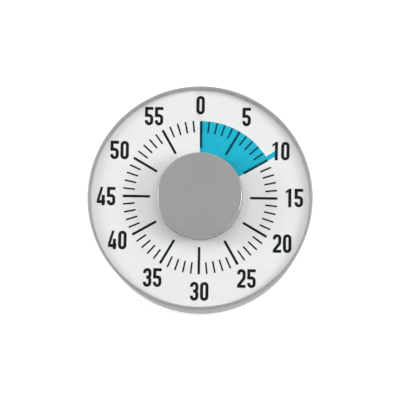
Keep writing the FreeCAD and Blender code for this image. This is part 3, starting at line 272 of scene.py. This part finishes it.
def finish(name, marks, dark, light, rough, depth, metallic=0.0, **settings):
    """A surface between two close tones, with the marks of its making to the given depth in metres."""
    rough_change, bump_strength = 0.04, 0.35
    material, tree, surface = shader(name)
    surface.inputs["Metallic"].default_value = metallic
    texture = node(tree, "ShaderNodeGroup", node_tree=marks)
    for socket, setting in settings.items():
        texture.inputs[socket].default_value = setting
    tree.links.new(tinted(tree, texture.outputs["Tone"], dark, light), surface.inputs["Base Color"])
    gloss = node(tree, "ShaderNodeMapRange", {
        "Value": texture.outputs["Tone"], "To Min": rough - rough_change, "To Max": rough + rough_change,
    })
    tree.links.new(gloss.outputs[0], surface.inputs["Roughness"])
    bump = node(tree, "ShaderNodeBump", {
        "Height": texture.outputs["Height"], "Strength": bump_strength, "Distance": depth,
    })
    tree.links.new(bump.outputs[0], surface.inputs["Normal"])
    return material


# Turned surfaces: faint lines that run round the axis of a turned mould, wheel or screw, over
# cloudy changes of tone.
turned = bpy.data.node_groups.new("turned_marks", "ShaderNodeTree")
given, result = group_sockets(
    turned, {"Axis X": 0.0, "Axis Y": 0.0, "Grain": 2200.0}, ("Tone", "Height"),
)
place = node(turned, "ShaderNodeTexCoord").outputs["Object"]
height = node(turned, "ShaderNodeSeparateXYZ", {0: place}).outputs["Z"]
axis = node(turned, "ShaderNodeCombineXYZ", {
    "X": given.outputs["Axis X"], "Y": given.outputs["Axis Y"], "Z": height,
})
radius = node(turned, "ShaderNodeVectorMath", {0: place, 1: axis.outputs[0]}, operation="DISTANCE")
ring = node(turned, "ShaderNodeCombineXYZ", {"X": radius.outputs["Value"], "Z": height})
lines = node(turned, "ShaderNodeTexNoise", {
    "Vector": ring.outputs[0], "Scale": given.outputs["Grain"], "Detail": 3.0,
})
clouds = node(turned, "ShaderNodeTexNoise", {"Vector": place, "Scale": 60.0, "Detail": 3.0})
shades = node(turned, "ShaderNodeMix", {"Factor": 0.45, "A": clouds.outputs[0], "B": lines.outputs[0]})
turned.links.new(shades.outputs[0], result.inputs["Tone"])
turned.links.new(lines.outputs[0], result.inputs["Height"])

case_grey = finish(
    "case_grey", turned, dark=(0.325, 0.325, 0.328), light=(0.365, 0.365, 0.368),
    rough=0.4, depth=0.000006, metallic=0.25,
)
drum = spun("drum_case", [
    (cover_bore, 0, 0.2), (foot_radius, 0, 0.9), (rim_radius, case_height, 0.5),
    (lens_well, case_height, 0.1), (lens_well, tape_step, 0), (face_bore, tape_step, 0),
    (face_bore, deck_top, 0), (knob_bore, deck_top, 0.2), (knob_bore, deck_under, 0.2),
    (wall_bore, deck_under, 0.6), (wall_bore, cover_level, 0), (cover_bore, cover_level, 0),
])
screw_places, plate_places = places(out=40.0, first=45), places(out=32.007, first=20)
plate_seat = 26.2
bosses = []
for wide, pilot, low, spots in ((3.2, 1.1, cover_level, screw_places), (2.8, 0.9, plate_seat, plate_places)):
    for at in spots:
        bosses.append(spun("screw_boss", [
            (pilot, low, 0), (wide, low, 0.2), (wide, deck_under, 0), (pilot, deck_under, 0),
        ], sides=48, centre=at))
drum = joined([drum, *bosses])
coat(drum, case_grey)
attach(drum, "case")
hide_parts("front_housing")


# Lens tape: a thin ring of white adhesive tape, stuck on the step in the lip. It holds the lens
# down and shows white at the edge of the face.
tape_inner, tape_outer, lens_low = 47.47, 47.78, 33.9
white_tape = finish(
    "white_tape", moulding, dark=(0.84, 0.84, 0.84), light=(0.86, 0.86, 0.86),
    rough=0.7, depth=0.00001, Grain=5000.0,
)
tape = spun("lens_tape", [
    (tape_inner, tape_step, 0), (tape_outer, tape_step, 0),
    (tape_outer, lens_low, 0), (tape_inner, lens_low, 0),
])
coat(tape, white_tape)
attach(tape, "case")


# Lens: a clear polycarbonate sheet let into the lip, cut out in the middle for the knob. Its edges
# are polished, and its underside lies on the tape.
lens_bore, lens_radius, lens_top, lens_edge = 19.0, 47.7, 35.5, 0.1


def open_to_lamps(material, colour):
    """Lets the light of the lamps straight through a clear sheet, tinted by a colour."""
    tree = material.node_tree
    path = node(tree, "ShaderNodeLightPath").outputs
    passing = node(tree, "ShaderNodeBsdfTransparent", {"Color": (*colour, 1)})
    sheet = node(tree, "ShaderNodeMixShader", {
        0: larger(tree, path["Is Shadow Ray"], path["Is Diffuse Ray"]),
        1: tree.nodes["Principled BSDF"].outputs[0], 2: passing.outputs[0],
    })
    tree.links.new(sheet.outputs[0], tree.nodes["Material Output"].inputs["Surface"])


clear_sheet, tree, surface = shader("clear_sheet")
surface.inputs["Base Color"].default_value = (0.985, 0.99, 0.99, 1)
surface.inputs["Transmission Weight"].default_value = 1.0
surface.inputs["Roughness"].default_value = 0.02
surface.inputs["IOR"].default_value = 1.49
open_to_lamps(clear_sheet, (0.95, 0.955, 0.955))
lens = spun("lens_sheet", [
    (lens_bore, lens_low, lens_edge), (lens_radius, lens_low, lens_edge),
    (lens_radius, lens_top, lens_edge), (lens_bore, lens_top, lens_edge),
])
coat(lens, clear_sheet)
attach(lens, "case")
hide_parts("lens")


# Face: a white sheet that climbs once round clockwise and carries on under its own high end,
# on a skirt with a closed foot. The notch in its high end lets the pointer tab through.
dial_rise, notch_angle, slit_angle, low_end_angle = 1.5, 3.5, 1.3, 6
face_inner, notch_radius, face_outer, face_level, face_thickness = 12.0, 35.0, 47.4, 30.9, 0.6
skirt_inner, skirt_outer, skirt_height, foot_top = 42.55, 47.15, 1.0, 31.2


def climbing(name, inner, outer, start, end, low, thickness, fine=1.0):
    """A sheet in millimetres that rises as it goes round clockwise from 12 o'clock."""
    steps = max(2, round((end - start) / fine))
    bpy.ops.object.select_all(action="DESELECT")
    bpy.ops.mesh.primitive_grid_add(x_subdivisions=steps, y_subdivisions=1, size=1)
    piece = bpy.context.object
    piece.name = piece.data.name = name
    for point in piece.data.vertices:
        angle = start + (end - start) * (point.co.x + 0.5)
        radius = (inner + (outer - inner) * (point.co.y + 0.5)) / 1000
        turned_by = math.radians(angle)
        point.co = (
            radius * math.sin(turned_by), radius * math.cos(turned_by),
            (low + dial_rise * angle / 360) / 1000,
        )
    bpy.ops.object.mode_set(mode="EDIT")
    bpy.ops.mesh.select_all(action="SELECT")
    bpy.ops.mesh.extrude_region_move(TRANSFORM_OT_translate={"value": (0, 0, thickness / 1000)})
    bpy.ops.mesh.select_all(action="SELECT")
    bpy.ops.mesh.normals_make_consistent(inside=False)
    bpy.ops.object.mode_set(mode="OBJECT")
    bpy.ops.object.shade_smooth_by_angle(angle=crease)
    return piece


face_white = finish(
    "face_white", moulding, dark=(0.858, 0.856, 0.856), light=(0.872, 0.87, 0.87),
    rough=0.6, depth=0.000008, Grain=3200.0,
)
face_sheet, notch_start = (face_level, face_thickness), 360 - notch_angle
face = joined([
    climbing("dial_face", face_inner, notch_radius, 0, 360 - slit_angle, *face_sheet),
    climbing("dial_face_outer", notch_radius, face_outer, 0, notch_start, *face_sheet),
    climbing("dial_face_low_end", face_inner, face_outer, -low_end_angle, 0, *face_sheet),
    climbing("dial_skirt", skirt_inner, skirt_outer, 0, notch_start, deck_top, skirt_height),
    spun("dial_foot", [
        (skirt_inner, deck_top, 0), (skirt_outer, deck_top, 0),
        (skirt_outer, foot_top, 0), (skirt_inner, foot_top, 0),
    ]),
])
coat(face, face_white)
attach(face, "case")
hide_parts("dial")


# Printed scale: black ink on the face, sixty ticks and the numerals 0 to 55, a few hundredths of
# a millimetre thick. It follows the climb of the face, so it shows dark through the film.
ink_level, ink_thickness, print_centre = 31.505, 0.03, (-0.04, 0.36)
digit_height, digit_width, stroke, digit_gap = 8.15, 3.66, 1.34, 0.7
major_tick, minor_tick, tick_end = (21.95, 1.1), (28.65, 0.74), 33.75
numeral_places = (
    (-0.45, 40.7), (19.75, 35.75), (34.65, 20.9), (40.75, 0.35), (35.95, -19.65), (20.7, -35.15),
    (0.35, -41.05), (-20.1, -35.4), (-35.6, -19.3), (-40.9, -0.2), (-35.45, 20.15), (-20.7, 35.35),
)


def arc(x, y, radius, start, end, steps=12):
    """Points along an arc between two angles in degrees."""
    angles = [math.radians(start + (end - start) * step / steps) for step in range(steps + 1)]
    return [(x + radius * math.cos(angle), y + radius * math.sin(angle)) for angle in angles]


def digit(figure):
    """The outlines of one figure, the first one outside and any second one its hole."""
    side, top, pen = digit_width / 2, digit_height / 2, stroke
    bend, inside = top - side, side - pen
    if figure == "0":
        return [
            arc(0, bend, side, 0, 180) + arc(0, -bend, side, 180, 360),
            arc(0, bend, inside, 180, 0) + arc(0, -bend, inside, 360, 180),
        ]
    if figure == "1":
        stem, flag_top, flag_end, flag_drop, flag_low, flag_root = 1.15, 0.3, -1.25, 1.15, 2.3, 1.4
        return [[
            (stem, -top), (stem, top), (flag_top, top), (flag_end, top - flag_drop),
            (flag_end, top - flag_low), (stem - pen, top - flag_root), (stem - pen, -top),
        ]]
    if figure == "2":
        tip, sweep, sweep_level, outer_turn, inner_turn, slant, heel = 0.55, 3.4, 0.95, 26, 30, 0.22, 0.95
        return [
            [(-side, bend - tip)] + arc(0, bend, side, 180, 0)
            + arc(side - sweep, sweep_level, sweep, 0, -outer_turn, 6)
            + [(-inside + slant, -top + pen), (side, -top + pen), (side, -top), (-side, -top)]
            + [(-side, -top + pen * heel)]
            + arc(side - sweep, sweep_level, sweep - pen, -inner_turn, 0, 6)
            + arc(0, bend, inside, 0, 180) + [(-inside, bend - tip)],
        ]
    if figure == "3":
        tip, waist, stub, lobe = 0.4, 0.1, -0.5, side - pen / 2
        notch = math.degrees(math.asin(lobe / side))
        return [
            [(-side, bend - tip)] + arc(0, bend, side, 180, 0)
            + arc(0, waist + lobe, side, 0, -notch) + arc(0, waist - lobe, side, notch, 0)
            + arc(0, -bend, side, 0, -180) + [(-side, -bend + tip), (-inside, -bend + tip)]
            + arc(0, -bend, inside, -180, 0) + arc(0, waist - lobe, inside, 0, 90)
            + [(stub, waist - pen / 2), (stub, waist + pen / 2)]
            + arc(0, waist + lobe, inside, -90, 0) + arc(0, bend, inside, 0, 180)
            + [(-inside, bend - tip)],
        ]
    if figure == "4":
        stem, stem_top, bar_top = 0.28, 0.55, -top + 2.3
        bar_low, stem_right = bar_top - pen, stem + pen
        peak_left, peak_right, slope_foot, corner = -0.2, 0.93, 1.17, 0.1
        return [[
            (peak_left, top), (peak_right, top), (-side + slope_foot, bar_top), (stem, bar_top),
            (stem, stem_top), (stem_right, stem_top), (stem_right, bar_top), (side, bar_top),
            (side, bar_low), (stem_right, bar_low), (stem_right, -top), (stem, -top), (stem, bar_low),
            (-side, bar_low), (-side, bar_top + corner),
        ]]
    tip, bowl = 0.45, 0.95
    return [
        [(-side, top), (side, top), (side, top - pen), (-inside, top - pen), (-inside, bowl), (0, bowl)]
        + arc(0, bowl - side, side, 90, 0) + arc(0, -bend, side, 0, -180)
        + [(-side, -bend + tip), (-inside, -bend + tip)] + arc(0, -bend, inside, -180, 0)
        + arc(0, bowl - side, inside, 0, 90) + [(-side, bowl - pen)],
    ]


def printed(name, outlines):
    """Flat outlines in millimetres, filled, given the thickness of the ink and laid on the face."""
    art = bpy.data.curves.new(name, "CURVE")
    art.dimensions, art.fill_mode, art.extrude = "2D", "BOTH", ink_thickness / 2000
    for outline in outlines:
        line = art.splines.new("POLY")
        line.points.add(len(outline) - 1)
        for point, (x, y) in zip(line.points, outline):
            point.co = (x / 1000, y / 1000, 0, 1)
        line.use_cyclic_u = True
    piece = bpy.data.objects.new(name, art)
    bpy.context.collection.objects.link(piece)
    bpy.ops.object.select_all(action="DESELECT")
    piece.select_set(True)
    bpy.context.view_layer.objects.active = piece
    bpy.ops.object.convert(target="MESH")
    place = (*print_centre, ink_level + ink_thickness / 2)
    piece.location = [part / 1000 for part in place]
    bpy.ops.object.transform_apply(location=True)
    for point in piece.data.vertices:
        angle = math.degrees(math.atan2(point.co.x, point.co.y)) % 360
        point.co.z += dial_rise * (angle if angle < notch_start else angle - 360) / 360 / 1000
    bpy.ops.object.mode_set(mode="EDIT")
    bpy.ops.mesh.select_all(action="SELECT")
    bpy.ops.mesh.remove_doubles(threshold=weld)
    bpy.ops.mesh.normals_make_consistent(inside=False)
    bpy.ops.object.mode_set(mode="OBJECT")
    return piece


black_ink, tree, surface = shader("black_ink")
speckle = node(tree, "ShaderNodeTexNoise", {
    "Vector": node(tree, "ShaderNodeTexCoord").outputs["Object"], "Scale": 1400.0, "Detail": 3.0,
})
ink_tones = tinted(tree, speckle.outputs[0], dark=(0.002, 0.002, 0.002), light=(0.006, 0.006, 0.006))
tree.links.new(ink_tones, surface.inputs["Base Color"])
surface.inputs["Roughness"].default_value = 0.5
surface.inputs["Specular IOR Level"].default_value = 0.25

ticks = []
for minute in range(60):
    inner, wide = major_tick if minute % 5 == 0 else minor_tick
    turned_by = math.radians(-6 * minute)
    cosine, sine = math.cos(turned_by), math.sin(turned_by)
    ticks.append([
        (cosine * x - sine * y, sine * x + cosine * y)
        for x, y in ((-wide / 2, inner), (wide / 2, inner), (wide / 2, tick_end), (-wide / 2, tick_end))
    ])
numerals = []
for place_number, centre in enumerate(numeral_places):
    figures = str(5 * place_number)
    for number, figure in enumerate(figures):
        across = (number - (len(figures) - 1) / 2) * (digit_width + digit_gap)
        for outline in digit(figure):
            numerals.append([(centre[0] + across + x, centre[1] + y) for x, y in outline])
for name, outlines in (("scale_ticks", ticks), ("scale_numerals", numerals)):
    print_piece = printed(name, outlines)
    coat(print_piece, black_ink)
    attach(print_piece, "case")


# Time disc: a blue film on a sleeve, wound through the slit of the face. Its leading edge
# carries the pointer tab, and at rest ten minutes of it lie on the face.
film_bore, film_radius, tab_reach, film_level, film_thickness = 10.0, 34.05, 38.9, 31.8, 0.3
film_start, film_end, tab_start = -300, 60, 56.7
film_blue = finish(
    "film_blue", moulding, dark=(0.018, 0.575, 0.785), light=(0.02, 0.59, 0.80),
    rough=0.16, depth=0.000001, Grain=3600.0,
)
surface = film_blue.node_tree.nodes["Principled BSDF"]
surface.inputs["Transmission Weight"].default_value = 0.95
surface.inputs["IOR"].default_value = 1.4
open_to_lamps(film_blue, (0.97, 0.98, 0.98))
film = joined([
    climbing("film_disc", film_bore, film_radius, film_start, film_end, film_level, film_thickness),
    climbing("film_tab", film_radius, tab_reach, tab_start, film_end, film_level, film_thickness, fine=0.6),
])
coat(film, film_blue)
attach(film, "time_disc")
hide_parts("time_disc")


# Knob: a satin grey cup moulding, faintly metallic, with a plain flat face and a softly rounded
# edge. Six ribs stiffen it, and its boss is bored for the arbor.
knob_top, roof_under, knob_foot, boss_foot, bore_top = 44.8, 42.8, 34.2, 27.4, 41.8
knob_radius, foot_flare, knob_inside, boss_radius, arbor_bore = 18.5, 0.05, 16.5, 6.9, 2.5
rib_size, rib_centre, rib_count = (9.9, 1.2, 6.0), (11.7, 0, 39.85), 6
knob_silver = finish(
    "knob_silver", moulding, dark=(0.39, 0.39, 0.392), light=(0.405, 0.405, 0.407),
    rough=0.22, depth=0.000002, metallic=0.35, Grain=3000.0,
)
knob = spun("knob_cup", [
    (arbor_bore, boss_foot, 0), (boss_radius, boss_foot, 0.3), (boss_radius, roof_under, 0.4),
    (knob_inside, roof_under, 0.6), (knob_inside + foot_flare, knob_foot, 0.2),
    (knob_radius + foot_flare, knob_foot, 0.2), (knob_radius, knob_top, 0.8),
    (on_axis, knob_top, 0), (on_axis, bore_top, 0), (arbor_bore, bore_top, 0),
])


def soften(piece, width):
    """Breaks the sharp edges of a piece by a width in millimetres."""
    sharp, soft_crease = math.radians(35), math.radians(20)
    bpy.ops.object.select_all(action="DESELECT")
    piece.select_set(True)
    bpy.context.view_layer.objects.active = piece
    bevel = piece.modifiers.new("soft_edges", "BEVEL")
    bevel.width, bevel.segments, bevel.limit_method = width / 1000, 2, "ANGLE"
    bevel.angle_limit = sharp
    bpy.ops.object.modifier_apply(modifier=bevel.name)
    bpy.ops.object.shade_smooth_by_angle(angle=soft_crease)
    return piece


def bar(name, size, centre, turned_by=0.0, edge=0.1):
    """A bar in millimetres with broken edges, turned about the case's axis by an angle in degrees."""
    bpy.ops.object.select_all(action="DESELECT")
    bpy.ops.mesh.primitive_cube_add(size=1)
    piece = bpy.context.object
    piece.name = piece.data.name = name
    piece.scale = [side / 1000 for side in size]
    bpy.ops.object.transform_apply(scale=True)
    piece.location = [part / 1000 for part in centre]
    bpy.ops.object.transform_apply(location=True)
    piece.rotation_euler.z = math.radians(turned_by)
    bpy.ops.object.transform_apply(rotation=True)
    return soften(piece, edge)


ribs = [bar("knob_rib", rib_size, rib_centre, 360 // rib_count * number) for number in range(rib_count)]
knob = joined([knob, *ribs])
coat(knob, knob_silver)
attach(knob, "knob")
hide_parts("knob")


# Rear cover: a moulded disc let into the back of the drum. Five sound slots open under the bell,
# three sinks take the screws, and a ring inside locates it in the drum.
cover_radius, ring_outer, ring_inner, ring_top = 47.0, 46.2, 44.8, 4.2
magnet_places, magnet_floor, magnet_top = places(35.0, 105), 1.2, 3.2
seat_radius, seat_wall, seat_root = 5.1, 6.2, 2.0
head_sink, sink_depth, shank_hole, past = 2.4, 1.4, 1.2, 0.1
slot_width, slot_length, slot_pitch, slot_count, bell_centre = 1.6, 14.0, 4.0, 5, (-7.0, -2.0)
cutter_height, slot_corner, cover_edge = 3.0, 0.3, 0.12


def combine(piece, other, how):
    """Adds another closed piece to a piece, or cuts it away, and removes the other one."""
    bpy.ops.object.select_all(action="DESELECT")
    piece.select_set(True)
    bpy.context.view_layer.objects.active = piece
    change = piece.modifiers.new("change", "BOOLEAN")
    change.operation, change.object, change.solver = how, other, "EXACT"
    bpy.ops.object.modifier_apply(modifier=change.name)
    bpy.data.objects.remove(other)


cover = spun("cover_disc", [
    (on_axis, 0, 0), (cover_radius, 0, 0.25), (cover_radius, cover_level, 0.15),
    (ring_outer, cover_level, 0), (ring_outer, ring_top, 0.2), (ring_inner, ring_top, 0.2),
    (ring_inner, cover_level, 0), (on_axis, cover_level, 0),
])
for at in magnet_places:
    combine(cover, spun("magnet_ring", [
        (on_axis, seat_root, 0), (seat_wall, seat_root, 0),
        (seat_wall, magnet_top, 0), (on_axis, magnet_top, 0),
    ], sides=96, centre=at), "UNION")
for at in magnet_places:
    combine(cover, spun("magnet_seat", [
        (on_axis, magnet_floor, 0), (seat_radius, magnet_floor, 0),
        (seat_radius, magnet_top + past, 0), (on_axis, magnet_top + past, 0),
    ], sides=96, centre=at), "DIFFERENCE")
for at in screw_places:
    combine(cover, spun("screw_sink", [
        (on_axis, -past, 0), (head_sink, -past, 0), (head_sink, sink_depth, 0), (shank_hole, sink_depth, 0),
        (shank_hole, cover_level + past, 0), (on_axis, cover_level + past, 0),
    ], sides=64, centre=at), "DIFFERENCE")
slot_size = (slot_length, slot_width, cutter_height)
for number in range(slot_count):
    across = bell_centre[1] + slot_pitch * (number - (slot_count - 1) / 2)
    cutter = bar("sound_slot", slot_size, (bell_centre[0], across, cover_level / 2), edge=slot_corner)
    combine(cover, cutter, "DIFFERENCE")
soften(cover, cover_edge)
coat(cover, finish(
    "cover_grey", moulding, dark=(0.30, 0.30, 0.303), light=(0.325, 0.325, 0.328),
    rough=0.5, depth=0.00002, Grain=2200.0,
))
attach(cover, "case")
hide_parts("rear_cover")


# Cover screws: three pan heads of zinc-plated steel with a cross recess. They lie sunk in the
# cover, and their shanks cut into the bosses of the case.
head_level, head_radius, shank_radius, shank_end, screw_end, screw_tip = 0.3, 2.3, 1.1, 12.4, 13.4, 0.2
recess_length, recess_width, recess_height, recess_edge, screw_edge = 2.6, 0.6, 1.4, 0.05, 0.06
zinc = finish(
    "zinc_plate", turned, dark=(0.62, 0.64, 0.66), light=(0.74, 0.745, 0.73),
    rough=0.28, depth=0.000004, metallic=1.0, Grain=3500.0,
)
screws = []
for at in screw_places:
    screw = spun("cover_screw", [
        (on_axis, head_level, 0), (head_radius, head_level, 0.4), (head_radius, sink_depth, 0.1),
        (shank_radius, sink_depth, 0.1), (shank_radius, shank_end, 0), (screw_tip, screw_end, 0),
        (on_axis, screw_end, 0),
    ], sides=64, centre=at)
    for sides in ((recess_length, recess_width), (recess_width, recess_length)):
        recess = bar("recess", (*sides, recess_height), (*at, head_level), edge=recess_edge)
        combine(screw, recess, "DIFFERENCE")
    screws.append(soften(screw, screw_edge))
screws = joined(screws)
coat(screws, zinc)
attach(screws, "case")
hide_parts("case_screws")


# Magnets: three nickel-plated discs, pressed into the rings inside the cover. They hold the
# timer on a steel door or board.
magnet_radius, magnet_edge = 5, 0.2
nickel = finish(
    "nickel_plate", turned, dark=(0.66, 0.65, 0.62), light=(0.72, 0.71, 0.69),
    rough=0.2, depth=0.000002, metallic=1.0, Grain=2500.0,
)
magnets = joined([
    spun("magnet_disc", [
        (on_axis, magnet_floor, 0), (magnet_radius, magnet_floor, magnet_edge),
        (magnet_radius, magnet_top, magnet_edge), (on_axis, magnet_top, 0),
    ], sides=96, centre=at)
    for at in magnet_places
])
coat(magnets, nickel)
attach(magnets, "case")
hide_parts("magnets")


# Movement: stamped brass plates and wheels, turned steel arbors, zinc-plated fasteners and blued
# springs. These pieces keep their shapes and get the finish of their making.
brass_dark, brass_light = (0.58, 0.40, 0.14), (0.78, 0.58, 0.25)
steel_dark, steel_light = (0.44, 0.45, 0.47), (0.60, 0.61, 0.63)

# Brushed surfaces: fine lines along one direction, over cloudy tarnish.
drawn = bpy.data.node_groups.new("brushed_marks", "ShaderNodeTree")
given, result = group_sockets(drawn, {"Grain": 900.0, "Stretch": 30.0}, ("Tone", "Height"))
place = node(drawn, "ShaderNodeTexCoord").outputs["Object"]
wide = node(drawn, "ShaderNodeCombineXYZ", {
    "X": 1.0, "Y": given.outputs["Stretch"], "Z": given.outputs["Stretch"],
})
along = node(drawn, "ShaderNodeVectorMath", {0: place, 1: wide.outputs[0]}, operation="MULTIPLY")
brushing = node(drawn, "ShaderNodeTexNoise", {
    "Vector": along.outputs[0], "Scale": given.outputs["Grain"], "Detail": 3.0,
})
tarnish = node(drawn, "ShaderNodeTexNoise", {"Vector": place, "Scale": 110.0, "Detail": 4.0})
shades = node(drawn, "ShaderNodeMix", {"Factor": 0.35, "A": tarnish.outputs[0], "B": brushing.outputs[0]})
drawn.links.new(shades.outputs[0], result.inputs["Tone"])
drawn.links.new(brushing.outputs[0], result.inputs["Height"])


def dress(material, *names):
    """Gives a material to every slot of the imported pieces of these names."""
    for name in names:
        for slot in bpy.data.objects[name].material_slots:
            slot.material = material


def metal(name, marks, dark, light, rough, depth, **settings):
    return finish(name, marks, dark, light, rough, depth, metallic=1.0, **settings)


def axis_of(name):
    """Where the upright axis of a packed round piece passes, as settings of the turned marks."""
    low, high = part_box(name)
    return {"Axis X": (low[0] + high[0]) / 2, "Axis Y": (low[1] + high[1]) / 2}


dress(
    metal("stamped_brass", drawn, brass_dark, brass_light, rough=0.3, depth=0.000005, Grain=300.0),
    "movement_front_plate", "movement_back_plate", "pallet_verge", "balance_bar", "alarm_cam",
    "hammer_head",
)
for wheel in ("great_wheel", "second_wheel", "third_wheel", "escape_wheel"):
    dress(metal(
        "brass_" + wheel, turned, brass_dark, brass_light, rough=0.26, depth=0.000004,
        Grain=2600.0, **axis_of(wheel),
    ), wheel)
dress(
    metal(
        "turned_steel", drawn, steel_dark, steel_light, rough=0.25, depth=0.000003,
        Grain=500.0, Stretch=8.0,
    ),
    "main_arbor", "second_pinion", "third_pinion", "escape_pinion", "verge_arbor", "hammer_arbor",
    "plate_pillars", "ratchet_wheel", "click",
)
dress(
    metal(
        "zinc_small", drawn, dark=(0.60, 0.62, 0.64), light=(0.74, 0.745, 0.73),
        rough=0.3, depth=0.000004, Grain=400.0,
    ),
    "movement_screws", "pillar_nuts", "bell_nut", "bell_post", "spring_post", "click_rivet",
    "hammer_arm", "hammer_tail",
)
dress(
    metal(
        "blued_spring", drawn, dark=(0.05, 0.07, 0.16), light=(0.12, 0.15, 0.27),
        rough=0.22, depth=0.000003, Grain=250.0,
    ),
    "mainspring", "click_spring", "hammer_spring",
)
dress(metal(
    "bell_nickel", turned, dark=(0.70, 0.69, 0.67), light=(0.78, 0.775, 0.765),
    rough=0.08, depth=0.000001, Grain=1500.0, **axis_of("bell"),
), "bell")
dress(
    finish(
        "hub_acetal", moulding, dark=(0.80, 0.80, 0.78), light=(0.84, 0.84, 0.82),
        rough=0.35, depth=0.000006, Grain=4000.0,
    ),
    "disc_hub",
)
